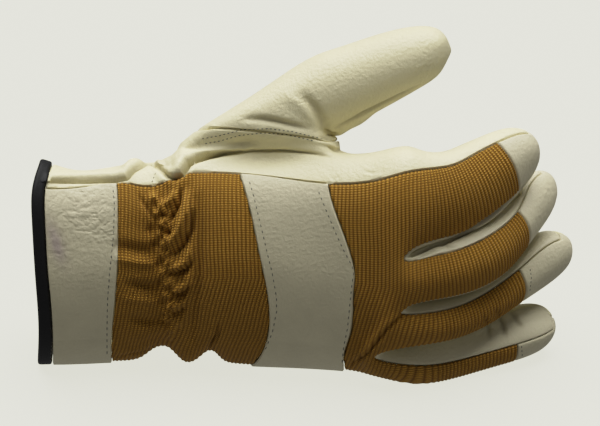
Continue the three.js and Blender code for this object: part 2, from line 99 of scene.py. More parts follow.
# The glove's form in millimetres, from tables close to the CAD model's
form = {
    "fullness": 22,  # corners that the hand's ring would have if they were spread evenly
    "recentre": (-2.164, -17.416, 0),
    "sections": [  # x, yMid, zMid, halfBreadth, halfDepth, seamAngle
        (-115, 19.0, 47.8, 51.5, 24.5, 60),
        (-110, 19.0, 47.2, 50.8, 24.5, 61),
        (-97, 19.6, 44.2, 47.8, 25.0, 70),
        (-82, 20.8, 45.4, 49.0, 25.0, 75),
        (-71, 20.6, 47.0, 50.2, 25.5, 63),
        (-62, 21.0, 49.4, 49.6, 24.0, 60),
        (-51, 19.0, 50.2, 52.8, 26.5, 69),
        (-26, 17.5, 48.5, 52.0, 27.5, 74),
        (-5, 16.5, 49.2, 52.4, 27.0, 67),
        (15, 13.5, 51.0, 54.2, 26.5, 59),
        (32, 9.5, 52.4, 56.0, 26.0, 59),
        (45, 5.8, 55.6, 59.8, 26.6, 61),
    ],
    "backX": {
        0: [-116.6, -116.2, -115.4, -115.0, -114.6, -114.6, -115.2, -116.4, -116.8],
        1: [-113.0, -112.4, -111.4, -110.4, -109.6, -109.4, -109.8, -111.0, -111.4],
        3: [-76.4, -76.0, -76.4, -77.4, -79.0, -80.8, -82.4, -83.0, -83.2],
        6: [-51.0, -51.0, -50.5, -50.0, -48.5, -46.0, -42.5, -39.5, -39.5],
        7: [-26.0, -18.8, -12.4, -9.0, -6.6, -6.8, -10.2, -19.2, -25.8],
        9: [10.3, 17.2, 29.6, 26.8, 27.8, 26.8, 23.2, 24.0, 22.6],
        10: [31.0, 32.0, 37.5, 36.0, 35.0, 32.0, 25.4, 29.0, 32.0],
        11: [44.0, 45.0, 42.8, 45.5, 41.4, 38.5, 24.8, 38.0, 44.0],
    },
    "palmX": {
        0: [-115, -115, -115, -115, -115, -115, -115, -115, -115, -114, -112.5],
        1: [-110, -110, -110, -110, -110, -110, -110, -110, -110, -109.5, -108.5],
        6: [-39.5, -42, -46, -49, -51, -51, -51, -51, -51, -51, -51],
        9: [18, 18, 18, 18, 18, 18, 17, 15, 15, 15, 13],
        11: [45, 46, 49, 53, 55, 57, 56, 56, 53, 49, 46],
    },
    "littleSeam": -92,
    "backShares": [0, 0.135, 0.314, 0.386, 0.47, 0.556, 0.645, 0.816, 1],
    "palmShares": [0.087, 0.168, 0.216, 0.266, 0.322, 0.38, 0.445, 0.51, 0.606, 0.71, 0.856],
    "backPanels": [
        "cuff_binding", "cuff_band", "cuff_band", "wrist_fabric", "wrist_fabric", "wrist_fabric",
        "wrist_fabric", "knuckle_strap", "knuckle_strap", "finger_fabric", "finger_fabric",
    ],
}

fingers = {  # x, y, z, halfWidth, backDepth, palmDepth, lean
    "forefinger": {
        "roll": 14, "seamUp": 55, "seamDown": 75, "tip": (105.0, 35.0, 100.4),
        "sections": [
            (56, 4.0, 88.3, 20.1, 14.0, 18.0, 0), (68, 6.5, 88.9, 18.9, 13.8, 16.5, 0),
            (78, 13.0, 91.9, 17.7, 13.5, 15.0, 0), (88, 21.0, 96.1, 14.7, 12.8, 13.0, 0),
            (96, 27.6, 98.4, 12.4, 11.6, 11.6, 0), (101.5, 31.8, 99.6, 7.8, 7.6, 7.6, 0),
        ],
    },
    "middle": {
        "roll": 6, "seamUp": 51, "seamDown": 64, "tip": (112.5, 48.0, 77.5),
        "sections": [
            (55, -2.5, 56.4, 14.4, 13.8, 19.0, 0), (70, -0.8, 57.9, 14.4, 13.6, 17.0, 0),
            (83, 5.5, 61.2, 14.0, 13.2, 15.0, 0), (93.5, 18.0, 64.2, 13.0, 12.6, 13.5, 5),
            (102.0, 33.0, 71.6, 12.2, 12.0, 12.0, 0), (108.5, 42.5, 75.6, 8.2, 8.0, 8.0, 0),
        ],
    },
    "ring": {
        "roll": -6, "seamUp": 57, "seamDown": 68, "tip": (122.5, 38.0, 50.2),
        "sections": [
            (54, -5.0, 32.6, 11.8, 12.8, 15.0, 0), (68, -1.0, 33.2, 11.6, 12.6, 14.0, 0),
            (80, 7.0, 35.2, 11.8, 12.4, 14.0, 0), (93, 18.5, 38.4, 12.2, 12.2, 13.0, 2),
            (107, 29.0, 44.2, 13.4, 12.0, 12.0, 0), (117.5, 34.8, 47.4, 9.6, 8.0, 8.0, 0),
        ],
    },
    "little": {
        "roll": -38, "seamUp": 52, "seamDown": 54, "tip": (115.0, 29.0, 13.8),
        "sections": [
            (50, 3.0, 10.6, 11.2, 16.0, 11.5, 0), (66, 7.2, 10.6, 11.2, 14.6, 11.5, 0),
            (80, 11.5, 10.9, 11.6, 12.6, 11.8, 0), (92, 16.0, 11.8, 12.2, 12.4, 12.4, 0),
            (103, 21.0, 12.9, 12.8, 12.2, 12.0, 0), (110, 25.6, 13.4, 9.4, 8.4, 8.0, 0),
        ],
    },
}
fingerCap = {"start": 4, "palmSeam": 130}
crotches = [  # x, y, z and the share of their width that the two fingers keep beside it
    {"at": (49, 5, 69.2), "narrow": 0.9},
    {"at": (49, 4, 44.5), "narrow": 0.76},
    {"at": (37.5, 5, 20.0), "narrow": 0.76},
]

thumb = {
    "from": 6, "to": 9, "below": 16, "above": 19,  # rows and columns of its opening in the hand
    "tip": (70.5, 42.0, 140.8), "tipShare": 0.55,
    "seamShare": 0.42, "seamTilt": 0.28, "bulgeFront": 8, "bulgeHeel": 14,
    "sections": [  # x, y, z, halfHeight, halfDepth
        (3, 36.0, 121.2, 17.4, 15.4), (21, 38.0, 126.4, 16.8, 15.0), (38, 40.0, 134.0, 15.2, 14.4),
        (51.5, 41.0, 139.4, 13.4, 13.0), (61, 41.6, 142.0, 10.6, 9.8),
    ],
}

panelNames = [
    "palm_leather", "thumb_leather", "cuff_band", "knuckle_strap", "wrist_fabric", "finger_fabric",
    "cuff_binding", "forefinger_tip", "middle_tip", "ring_tip", "little_tip",
    "fourchette_1", "fourchette_2", "fourchette_3",
]


def plump(count):
    # rounding shrinks a ring of this many corners, so the ring starts larger
    return 1 / (2 / 3 + math.cos(2 * math.pi / count) / 3)


def handRing(index):
    x, yMid, zMid, halfBreadth, halfDepth, seamAngle = form["sections"][index]
    grow = plump(form["fullness"])
    span = seamAngle - form["littleSeam"]
    angles = [seamAngle - span * s for s in form["backShares"]]
    angles += [form["littleSeam"] - (360 - span) * s for s in form["palmShares"]]
    backX = form["backX"].get(index, [x] * len(form["backShares"]))
    palmX = form["palmX"].get(index, [x] * len(form["palmShares"]))
    ring = []
    for angle, ownX in zip(angles, backX + palmX):
        turn = math.radians(angle)
        y = yMid - grow * halfDepth * math.cos(turn)
        ring.append(Vector((ownX, y, zMid + grow * halfBreadth * math.sin(turn))))
    return ring


# Each part of the cage is a sheet whose map holds row and column; the parts lie this many rows apart
partStep = 20
parts = {name: partStep * number for number, name in enumerate(["hand", *fingers, "thumb"])}


def addSheet(mesh, part, rows, panelAt):
    place = mesh.loops.layers.uv.verify()
    across = len(rows[0])
    made = bmesh.ops.create_grid(mesh, x_segments=across - 1, y_segments=len(rows) - 1, size=1)["verts"]
    spots = {}
    for number, vertex in enumerate(made):
        spots[vertex] = divmod(number, across)
        vertex.co = rows[spots[vertex][0]][spots[vertex][1]]
    unwanted = []
    for face in {f for v in made for f in v.link_faces}:
        row, column = min(spots[v] for v in face.verts)
        panel = panelAt(row, column)
        if panel is None:
            unwanted.append(face)
            continue
        face.material_index = panelNames.index(panel)
        for loop in face.loops:
            spot = spots[loop.vert]
            loop[place].uv = (parts[part] + spot[0], spot[1])
    bmesh.ops.delete(mesh, geom=unwanted, context="FACES")


def closed(ring):
    return list(ring) + [ring[0]]


def tubeFrames(centres, backwards):
    frames = []
    for i, centre in enumerate(centres):
        along = (centres[min(i + 1, len(centres) - 1)] - centres[max(i - 1, 0)]).normalized()
        back = (backwards - along * backwards.dot(along)).normalized()
        frames.append((centre, back, back.cross(along)))
    return frames


def addFinger(mesh, k, name, rootRing, forks):
    finger = fingers[name]
    palmRing = rootRing[-2::-1]
    mine = slice(2 * k, 2 * k + 3)
    root = rootRing[mine] + [forks[k + 1]] + palmRing[mine][::-1] + [forks[k]]
    tip = Vector(finger["tip"])
    roll = math.radians(finger["roll"])
    centres = [Vector(s[:3]) for s in finger["sections"]] + [tip]
    frames = tubeFrames(centres, Vector((0, -math.cos(roll), math.sin(roll))))
    up, down, palmSeam = finger["seamUp"], finger["seamDown"], fingerCap["palmSeam"]
    angles = [up, 0, -down, -(down + palmSeam) / 2, -palmSeam, 180, palmSeam, (up + palmSeam) / 2]
    narrow = {3: crotches[k]["narrow"] if k < 3 else 1, 7: crotches[k - 1]["narrow"] if k > 0 else 1}
    grow = plump(len(root))
    rows = [closed(root)]
    for section, (centre, back, side) in zip(finger["sections"], frames):
        halfWidth, backDepth, palmDepth, lean = section[3:]
        ring = []
        for i, angle in enumerate(angles):
            height = math.cos(math.radians(angle))
            across = math.sin(math.radians(angle)) * narrow.get(i, 1)
            depth = backDepth if height > 0 else palmDepth
            point = centre + side * (grow * halfWidth * across) + back * (grow * depth * height)
            point.x += lean * across
            ring.append(point)
        rows.append(closed(ring))

    def panelAt(row, column):
        if column < 2:
            return f"{name}_tip" if row >= fingerCap["start"] else "finger_fabric"
        if column in (4, 5):
            return "palm_leather"
        beside = k if column in (2, 3) else k - 1
        return f"fourchette_{beside + 1}" if 0 <= beside <= 2 else "palm_leather"

    addSheet(mesh, name, rows, panelAt)
    # four faces close the tip round its middle point
    place = mesh.loops.layers.uv.verify()
    last = len(rows) - 1
    for number, panel in enumerate([f"{name}_tip", f"{name}_tip", "palm_leather", "palm_leather"]):
        columns = [(-1, 0, 1), (1, 2, 3), (3, 4, 5), (5, 6, 7)][number]
        corners = [rows[last][c % len(root)] for c in columns] + [tip]
        face = mesh.faces.new([mesh.verts.new(c) for c in corners])
        face.material_index = panelNames.index(panel)
        for loop, column in zip(face.loops, list(columns) + [columns[1]]):
            row = last + (1 if loop.vert.co == tip else 0)
            loop[place].uv = (parts[name] + row, column)


def addThumb(mesh, rings):
    start, end = thumb["from"], thumb["to"]
    steps, between = range(start, end + 1), range(thumb["below"] + 1, thumb["above"])
    opening = [rings[s][thumb["above"]] for s in steps] + [rings[end][c] for c in reversed(between)]
    opening += [rings[s][thumb["below"]] for s in reversed(steps)] + [rings[start][c] for c in between]
    corners = len(opening)
    tip = Vector(thumb["tip"])
    centres = [Vector(s[:3]) for s in thumb["sections"]] + [tip]
    frames = tubeFrames(centres, Vector((0, -1, 0)))
    grow = plump(corners)
    turns = [math.radians(-45 + 360 / corners * i) for i in range(corners)]
    tube = []
    for section, (centre, back, side) in zip(thumb["sections"], frames):
        high, deep = grow * section[3], grow * section[4]
        tube.append([centre + back * (deep * math.cos(t)) - side * (high * math.sin(t)) for t in turns])
    middle = sum(opening, Vector()) / corners
    middle = middle.lerp(centres[0], thumb["seamShare"])
    root = []
    for turn, low, high in zip(turns, opening, tube[0]):
        forwards = math.sin(turn)
        point = low.lerp(high, thumb["seamShare"] + thumb["seamTilt"] * forwards)
        bulge = thumb["bulgeFront"] + (thumb["bulgeHeel"] - thumb["bulgeFront"]) * max(0, -forwards)
        root.append(point + (point - middle).normalized() * bulge)
    rows = [closed(ring) for ring in [opening, root] + tube]
    addSheet(mesh, "thumb", rows, lambda row, column: "palm_leather" if row == 0 else "thumb_leather")
    # a square patch closes the tip
    near = tube[-1]
    order = [[0, 1, 2, 3], [11, None, None, 4], [10, None, None, 5], [9, 8, 7, 6]]
    grid = []
    for r, row in enumerate(order):
        points = []
        for c, n in enumerate(row):
            if n is None:
                sides = [order[r][0], order[r][3], order[0][c], order[3][c]]
                points.append((sum((near[s] for s in sides), Vector()) / 4).lerp(tip, thumb["tipShare"]))
            else:
                points.append(near[n])
        grid.append(points)
    addSheet(mesh, "thumb", grid, lambda row, column: "thumb_leather")


def buildCage():
    mesh = bmesh.new()
    rings = [handRing(index) for index in range(len(form["sections"]))]

    lastBack = len(form["backShares"]) - 1

    def panelAt(row, column):
        if thumb["from"] <= row < thumb["to"] and thumb["below"] <= column < thumb["above"]:
            return None
        if row == 0:
            return "cuff_binding"
        return form["backPanels"][row] if column < lastBack else "palm_leather"

    addSheet(mesh, "hand", [closed(ring) for ring in rings], panelAt)
    forks = [rings[-1][-1]] + [Vector(c["at"]) for c in crotches] + [rings[-1][lastBack + 1]]
    for k, name in enumerate(fingers):
        addFinger(mesh, k, name, rings[-1], forks)
    addThumb(mesh, rings)
    bmesh.ops.remove_doubles(mesh, verts=mesh.verts, dist=0.001)
    bmesh.ops.recalc_face_normals(mesh, faces=mesh.faces)
    return mesh


def readValues(items, field, width=3, kind=float):
    values = np.empty(len(items) * width, kind)
    items.foreach_get(field, values)
    return values.reshape(-1, width)


def vertexArray(mesh):
    return readValues(mesh.vertices, "co")


def setPoints(mesh, points):
    points[:, 2] = np.maximum(points[:, 2], 0)  # nothing goes below the floor
    mesh.vertices.foreach_set("co", points.ravel())
    mesh.update()


def normalArray(mesh):
    return readValues(mesh.vertex_normals, "vector")


def addValues(mesh, label, values):
    mesh.attributes.new(label, "FLOAT", "POINT").data.foreach_set("value", values.astype(np.float32))


def bell(distance, reach):
    return np.exp(-((distance / reach) ** 2))


def smooth(values, low, high):
    t = np.clip((values - low) / (high - low), 0, 1)
    return t * t * (3 - 2 * t)


def hash3(cell, seed):
    # large odd factors scatter the values of neighbouring cells
    mixed = cell[..., 0] * 127.1 + cell[..., 1] * 311.7 + cell[..., 2] * 74.7 + seed * 19.19
    value = np.sin(mixed) * 43758.5453
    return value - np.floor(value)


def valueNoise(points, size, seed):
    # smooth noise from -1 to 1, with blobs of about this size in mm
    spot = points / np.asarray(size, float) + 100
    cell = np.floor(spot)
    f = spot - cell
    f = f * f * (3 - 2 * f)
    total = 0
    for step in np.ndindex(2, 2, 2):
        share = hash3(cell + np.array(step), seed)
        for axis in range(3):
            share = share * (f[:, axis] if step[axis] else 1 - f[:, axis])
        total = total + share
    return total * 2 - 1


def pictureSpot(points):
    # where a point of the glove (mm, in the tables' own place) shows in the photograph
    toward, upward = map(np.array, viewDirections())
    eye = np.array(camera["target"]) - toward * camera["distance"]
    ray = points + np.array(form["recentre"]) - eye
    depth = ray @ toward
    across = camera["picture"][0] / 2 + camera["pixels"] * ray[:, 0] / depth
    down = camera["picture"][1] / 2 - camera["pixels"] * (ray @ upward) / depth
    return np.stack([across, down], axis=1), -toward


dents = [  # x, y, z, reachX, reachY, reachZ, depth
    (-61, 14, 0, 7.5, 22, 14, 3.6),  # elastic, under the wrist
    (-40, 10, 0, 4.8, 22, 12, 5.2),  # fold beside the elastic
    (-50, -3, 5, 6, 14, 14, -5.5),  # bulge between those two
    (-8, 22, 103, 24, 9, 7, 3),  # crease under the thumb
    (33, 28, 96, 9, 14, 10, 2.5),  # hollow before the forefinger
    (35, 28, 96, 5, 12, 8, 1.4),
    (19, 28, 97, 5, 10, 6, -1.6),  # flap in the thumb's crotch
    (25, 38, 110, 8, 14, 7, -3.0),  # side panel under the thumb
    (16, 31, 107, 5, 12, 6, -3.0),  # the crotch itself
    (65, 42, 150, 5, 10, 5, -1.3),  # rounds the thumb's tip
    (-64, 24, 97, 6, 16, 9, 1.8),  # saddle before the heel of the hand
]
shirring = {"x": -61, "depth": 2.6, "reach": 6, "puckerDepth": 0.3, "puckerReach": 13, "pitch": 15}

def fold(depth, width, *line, **more):
    return {"line": line, "depth": depth, "width": width, **more}


# Folds read off the photograph: depth and width, then the line in its pixels. A valley has a depth
# above 0 and a ridge one below; left and right are the rolls beside it, seen along the line
folds = [
    # the palm leather laps over the cuff's top seam, and turns in two rolled lips at the wrist
    fold(1.5, 1.8, (52, 182), (87, 181.3), (116, 180.7), (127, 178.5), (134, 170.5), (148, 163),
         (154, 164), left=1.9, reach=4, taper=0.2),
    fold(3.4, 2.2, (154, 165), (159, 167.5), (164, 173), (168, 176.8), (175, 178.5), (183, 174),
         (189, 164), (197, 160), (207, 157), (224, 153.5), (240, 152), left=2.0, right=0.6, reach=4.5),
    fold(1.1, 1.5, (215, 155), (249, 151), (284, 150.4), (309, 153), (330, 157), left=0.9, right=0.5,
         reach=4),
    fold(-2.0, 6, (176, 172), (178, 160), (186, 148), (196, 142)),
    fold(1.2, 4, (158, 158), (164, 164), (170, 168)),
    fold(-1.0, 4, (118, 172), (133, 164), (147, 159)),
    fold(1.0, 4, (226, 147), (240, 143), (258, 141)),
    # round the thumb
    fold(1.9, 3.5, (246, 119), (262, 119.5), (275, 121.5), (290, 125), (306, 129)),
    fold(-0.8, 6, (284, 93), (297, 103), (309.5, 114), (321, 130)),
    fold(2.0, 5, (303, 96), (314, 108), (322, 121), (327, 130)),
    fold(0.8, 1.2, (335, 128), (363, 112.5), (387, 101), (419, 85), right=0.7, reach=2.5),
    fold(1.0, 1.3, (325, 130), (331, 133.5), (337, 133), left=0.3),
    fold(0.9, 1.3, (320, 137), (329, 139), (336, 141), left=0.3),
    fold(0.8, 1.4, (326, 146), (334, 150.5), (344, 151.5), left=0.8, reach=2.5),
    # forefinger root
    fold(0.18, 1.1, (328, 169), (331, 176), (336, 184), left=0.1),
    fold(0.14, 1.1, (333, 168), (337, 175), (341, 184), left=0.1),
    fold(0.18, 1.0, (321, 176), (326, 180), (331, 185), left=0.1),
    fold(0.16, 1.3, (357, 165), (364, 171), (374, 173.5), (387, 171), right=0.15),
    fold(0.1, 1.1, (362, 161), (370, 166), (383, 167), right=0.1),
    fold(0.1, 1.1, (355, 172), (366, 177), (379, 179), right=0.1),
    fold(0.1, 1.1, (372, 158), (380, 163), (391, 164), right=0.1),
    # puffs to the right of the elastic, each with a shadowed furrow under it
    fold(-2.5, 3.6, (176, 190), (174, 198), (167, 206)),
    fold(2.8, 2.0, (182, 190), (179, 204), (172, 217), (166, 226)),
    fold(-4.3, 4.6, (187, 195), (186, 212), (180, 231), (170, 246)),
    fold(3.7, 2.6, (193, 212), (191, 232), (184, 247), (174, 256)),
    fold(-3.1, 3.6, (190, 248), (187, 259), (180, 265), (171, 267)),
    fold(2.6, 2.2, (192, 262), (187, 271), (172, 275)),
    fold(-2.6, 3.6, (189, 271), (187, 282), (180, 288), (171, 290)),
    fold(2.2, 2.2, (189, 287), (184, 294), (172, 298)),
    fold(-2.0, 3.2, (186, 297), (182, 303), (173, 307)),
    fold(1.6, 2.2, (186, 307), (180, 313), (172, 316)),
    fold(-1.4, 3.2, (184, 318), (178, 324), (172, 327)),
    fold(2.0, 5, (198, 200), (200, 235), (199, 275), (196, 310), (192, 338)),
    # furrows to its left
    fold(2.2, 6.0, (119, 247), (138, 250), (157, 252), taper=0.3),
    fold(-1.3, 4.2, (119, 259), (140, 262), (157, 264), taper=0.3),
    fold(2.0, 4.6, (128, 284), (145, 287), (160, 288)),
    fold(-0.8, 4, (122, 298), (140, 300), (160, 302)),
    fold(1.6, 4.6, (128, 319), (145, 322), (161, 322)),
    fold(1.2, 2.6, (139, 196), (147, 208), (154, 221)),
    fold(0.7, 1.4, (116, 357), (145, 352), (160, 342), left=0.3),
    fold(1.7, 2.0, (209, 352), (212, 343), (217, 335), (219, 325), left=0.5, right=0.3),
    # creases of the knuckle fabric
    fold(1.3, 1.6, (403, 314.5), (389, 327), (377, 342), (368, 354), (352, 364), right=0.8, left=0.3,
         reach=3.5, taper=0.3),
    # the forefinger's side and the middle finger's meet in a slit, and the little finger's side puckers
    fold(2.4, 1.2, (412, 256), (430, 247), (450, 241), (472, 230), (494, 215), (519, 194.5), right=0.4,
         reach=4, taper=0.3),
    fold(0.9, 2.4, (418, 258), (428, 252), (436, 250)),
    fold(0.6, 1.8, (440, 243), (449, 247), (455, 247)),
    fold(1.1, 2.2, (484, 316), (489, 327), (490, 338)),
    fold(1.5, 2.4, (497, 311), (503, 322), (506, 336)),
    fold(1.2, 2.4, (510, 309), (516, 318), (521, 327)),
]

# Knots and pockets along the elastic: place and size in the photograph, height in mm
knots = [
    (154, 198, 4.4, 3.2), (163, 205, 3.8, 2.8), (157, 213, 3.2, 2.3), (163.5, 223, 4.1, 3.2),
    (160, 234, 3.4, 2.5), (166, 243, 3.5, 2.5), (162, 253, 3.2, 2.1), (168, 262, 3.4, 2.2),
    (164, 272, 3.0, 1.9), (169, 283, 3.4, 2.1), (165, 294, 3.0, 1.9), (170, 305, 3.4, 2.1),
    (166, 317, 3.0, 1.8), (171, 329, 3.4, 1.9), (151, 230, 4.6, -1.5), (155, 245, 3.6, -1.7),
    (157, 265, 3.2, -1.4), (159, 283, 3.2, -1.4), (160, 303, 3.0, -1.2), (161, 322, 3.0, -1.1),
    (169, 234, 2.0, -0.8), (171, 254, 2.0, -0.8), (172, 274, 2.0, -0.8), (173, 294, 2.0, -0.8),
]
gathers = {
    "line": [(154, 192), (161, 206), (166, 219), (164, 232), (165, 258), (168, 282), (170, 306), (171, 335)],
    "reach": 6, "depth": 2.7, "size": (2.6, 4, 2.3), "twist": 1.6,
}

# Fine wrinkles of the leather: x, y and reach both ways in the photograph, depth and size in mm
wrinkles = [
    (86, 212, 34, 24, 0.6, (4.2, 4, 2.6)),
    (100, 232, 18, 18, 0.5, (3.4, 4, 2)),
    (62, 245, 14, 30, 0.35, (2.4, 4, 4)),
    (428, 72, 18, 11, 0.4, (2.2, 2.4, 1.8)),
    (368, 168, 26, 11, 0.16, (2.6, 2.4, 1.5)),
    (335, 176, 12, 12, 0.3, (2, 2.4, 3)),
    (302, 105, 24, 14, 0.25, (2.2, 2.4, 3)),
    (262, 126, 26, 12, 0.3, (3, 2.4, 2)),
    (435, 245, 26, 10, 0.4, (3, 3, 3)),
    (495, 325, 34, 16, 0.6, (3, 3, 3)),
    (265, 162, 70, 9, 0.18, (3, 2.4, 2.2)),
    (275, 200, 30, 20, 0.14, (2.6, 3, 2)),
    (548, 195, 12, 14, 0.25, (3, 3, 3)),
    (165, 160, 30, 10, 0.2, (3, 3, 2.4)),
]


foldStyle = {"taper": 0.6, "endGap": 0.04, "rollAway": 0.8, "shadeWidth": 1.2}
relief = {
    "facing": (0.02, 0.25),  # how far a point turns to the camera before it is shaped, and in full
    # a pocket's painted shade is its depth over pocketDepth, at most pocketShade
    "pocketDepth": 8, "pocketShade": 0.4,
    "least": 0.02,  # shares below this are left alone
    "bendSize": 2.5, "bend": 0.8, "sharpness": 3,
    "layers": ((1, 0.6), (0.45, 0.4)),  # step in size and share of the depth
}
seeds = {"bend": 3, "warp": 5, "wrinkle": 7, "gather": 11, "twist": 23}


def foldHeight(spots, fold, shade=None):
    # height of a fold at these places of the picture; its shade is raised where it is a steep valley
    line = np.array(fold["line"], float)
    width, reach = fold["width"], fold.get("reach", 2 * fold["width"])
    margin = 3 * (width + reach)
    near = np.all((spots > line.min(axis=0) - margin) & (spots < line.max(axis=0) + margin), axis=1)
    height = np.zeros(len(spots))
    if not near.any():
        return height
    spots = spots[near]
    best = np.full(len(spots), 1e9)
    along = np.zeros(len(spots))
    side = np.ones(len(spots))
    lengths = np.linalg.norm(np.diff(line, axis=0), axis=1)
    walked = 0
    for start, step, length in zip(line[:-1], np.diff(line, axis=0), lengths):
        away = spots - start
        t = np.clip((away @ step) / length ** 2, 0, 1)
        distance = np.linalg.norm(away - t[:, None] * step, axis=1)
        closer = distance < best
        best = np.where(closer, distance, best)
        along = np.where(closer, (walked + t * length) / lengths.sum(), along)
        side = np.where(closer, np.sign(step[1] * away[:, 0] - step[0] * away[:, 1]), side)
        walked += length
    endGap = foldStyle["endGap"]
    ends = np.sin(math.pi * (along * (1 - 2 * endGap) + endGap)) ** fold.get("taper", foldStyle["taper"])
    beside = best - width - foldStyle["rollAway"] * reach
    roll = np.where(side > 0, fold.get("left", 0), fold.get("right", 0)) * bell(beside, reach)
    height[near] = ends * (roll - fold["depth"] * bell(best, width))
    # painted shade along steep valleys, darkest on the fold's line
    if shade is not None:
        steep = np.clip(fold["depth"] / width, 0, 1)
        shade[near] = np.maximum(shade[near], ends * steep * bell(best, foldStyle["shadeWidth"] * width))
    return height


def nearGathers(spots):
    return -foldHeight(spots, {"line": gathers["line"], "width": gathers["reach"], "depth": 1})


def surfaceDetail(points, normals):
    # how far folds, knots and wrinkles lift a point off the smooth skin, and how much painted shade darkens
    # steep fold valleys and knot pockets
    spots, toCamera = pictureSpot(points)
    facing = smooth(normals @ toCamera, *relief["facing"])
    shade = np.zeros(len(points))
    lift = sum(foldHeight(spots, fold, shade) for fold in folds)
    for x, y, reach, height in knots:
        near = bell(np.hypot(spots[:, 0] - x, spots[:, 1] - y), reach)
        lift += height * near
        # pockets, knots that sink below the skin, get painted shade
        shade = np.maximum(shade, near * np.clip(-height / relief["pocketDepth"], 0, relief["pocketShade"]))
    for x, y, reachX, reachY, depth, size in wrinkles:
        offset = (spots - np.array([x, y])) / np.array([reachX, reachY])
        share = np.exp(-(offset ** 2).sum(axis=1))
        ask = share > relief["least"]
        size = np.array(size)
        bend = valueNoise(points[ask], size * relief["bendSize"], seeds["bend"])
        bend = bend[:, None] * size * relief["bend"]
        for step, part in relief["layers"]:
            crease = 1 - np.abs(valueNoise(points[ask] + bend, size * step, seeds["wrinkle"]))
            lift[ask] -= share[ask] * depth * part * crease ** relief["sharpness"]
    near = nearGathers(spots)
    ask = near > relief["least"]
    lift[ask] -= near[ask] * valueNoise(points[ask], gathers["size"], seeds["gather"]) * gathers["depth"]
    return lift * facing, shade * facing


def shapeSkin(mesh):
    points, normals = vertexArray(mesh), normalArray(mesh)
    push = np.zeros(len(points))
    for x, y, z, reachX, reachY, reachZ, depth in dents:
        near = bell(points[:, 0] - x, reachX) * bell(points[:, 1] - y, reachY)
        push += depth * near * bell(points[:, 2] - z, reachZ)
    onBack = np.clip(-normals[:, 1], 0, None)
    wave = np.cos(2 * math.pi * points[:, 2] / shirring["pitch"])
    beside = points[:, 0] - shirring["x"]
    push += onBack * shirring["depth"] * bell(beside, shirring["reach"])
    push += onBack * shirring["puckerDepth"] * wave * bell(beside, shirring["puckerReach"])
    points = points - normals * push[:, None]
    setPoints(mesh, points)


def meshFrom(shape, name):
    mesh = bpy.data.meshes.new(name)
    shape.to_mesh(mesh)
    return mesh


def applied(obj):
    # the object gives way to its mesh, with the modifiers in it
    ready = obj.evaluated_get(bpy.context.evaluated_depsgraph_get())
    mesh = bpy.data.meshes.new_from_object(ready)
    bpy.data.objects.remove(obj)
    return mesh


def denseSkin(cage, level):
    mesh = meshFrom(cage, "cage")
    for label in labels:
        mesh.materials.append(label)
    obj = addObject("cage", mesh)
    rounder = obj.modifiers.new("round", "SUBSURF")
    rounder.levels = rounder.render_levels = level
    rounder.use_limit_surface = True
    rounder.uv_smooth = "NONE"
    rounder.boundary_smooth = "ALL"
    dense = applied(obj)
    shapeSkin(dense)
    layer = dense.attributes.new("skinNormal", "FLOAT_VECTOR", "POINT")
    layer.data.foreach_set("vector", normalArray(dense).ravel())
    return dense


def cutPanels(dense):
    # the skin comes apart along its seams, one object for each panel
    skin = addObject("skin", dense.copy())
    before = set(bpy.data.objects)
    bpy.context.view_layer.objects.active = skin
    skin.select_set(True)
    bpy.ops.object.mode_set(mode="EDIT")
    bpy.ops.mesh.select_all(action="SELECT")
    bpy.ops.mesh.separate(type="MATERIAL")
    bpy.ops.object.mode_set(mode="OBJECT")
    found = {}
    for obj in [skin] + [o for o in bpy.data.objects if o not in before]:
        obj.select_set(False)
        if obj.data.polygons:
            found[panelNames[int(obj.data.materials[0]["number"])]] = obj.data
        bpy.data.objects.remove(obj)
    return found


cage = buildCage()
print("cage:", len(cage.faces), "faces")
labels = []
for number, name in enumerate(panelNames):
    label = bpy.data.materials.new("label_" + name)
    label["number"] = number
    labels.append(label)
skinLevels = {"medium": 4, "fine": 5}
gridSteps = 2 ** skinLevels["fine"]  # points of the fine skin along a side of a cage face
fineMesh = denseSkin(cage, skinLevels["fine"])
skins = {"medium": cutPanels(denseSkin(cage, skinLevels["medium"])), "fine": cutPanels(fineMesh)}
for label in labels:
    bpy.data.materials.remove(label)
print("skin:", len(fineMesh.polygons), "faces")


def cornerPlaces(mesh):
    # the point at each corner of a face, and its row and column
    corner = readValues(mesh.loops, "vertex_index", 1, np.int32)[:, 0]
    return corner, readValues(mesh.uv_layers[0].data, "uv", 2)


def gridOf(part, rows, columns):
    # the points of one part of the fine skin as a regular grid
    corner, place = cornerPlaces(fineMesh)
    row = place[:, 0] - parts[part]
    edge = 0.001
    mine = (row >= -edge) & (row <= rows + edge) & (place[:, 1] >= -edge)
    r = np.rint(row[mine] * gridSteps).astype(int)
    c = np.rint(place[mine, 1] * gridSteps).astype(int) % (columns * gridSteps)
    index = np.zeros((rows * gridSteps + 1, columns * gridSteps), int)
    index[r, c] = corner[mine]
    return vertexArray(fineMesh)[index]


grids = {"hand": gridOf("hand", len(form["sections"]) - 1, len(form["backShares"] + form["palmShares"]))}
for name, finger in fingers.items():
    grids[name] = gridOf(name, len(finger["sections"]), 8)


def alongFinger(name):
    # how far each row of the skin lies along the finger, from its second ring on
    line = grids[name][:, gridSteps]
    run = np.concatenate([[0], np.cumsum(np.linalg.norm(np.diff(line, axis=0), axis=1))])
    return run - run[gridSteps] + line[gridSteps, 0]


def acrossFrom(part, middle, start):
    # how far each point lies across the back, from its middle column on
    steps = np.linalg.norm(np.diff(grids[part], axis=1), axis=2)
    run = np.concatenate([np.zeros((len(steps), 1)), np.cumsum(steps, axis=1)], axis=1)
    return run - run[:, middle:middle + 1] + start


acrossHand = acrossFrom("hand", 0, 0)
runs = {}
for k, name in enumerate(fingers):
    start = acrossHand[-1, (2 * k + 1) * gridSteps]
    runs[name] = (alongFinger(name), acrossFrom(name, gridSteps, start))

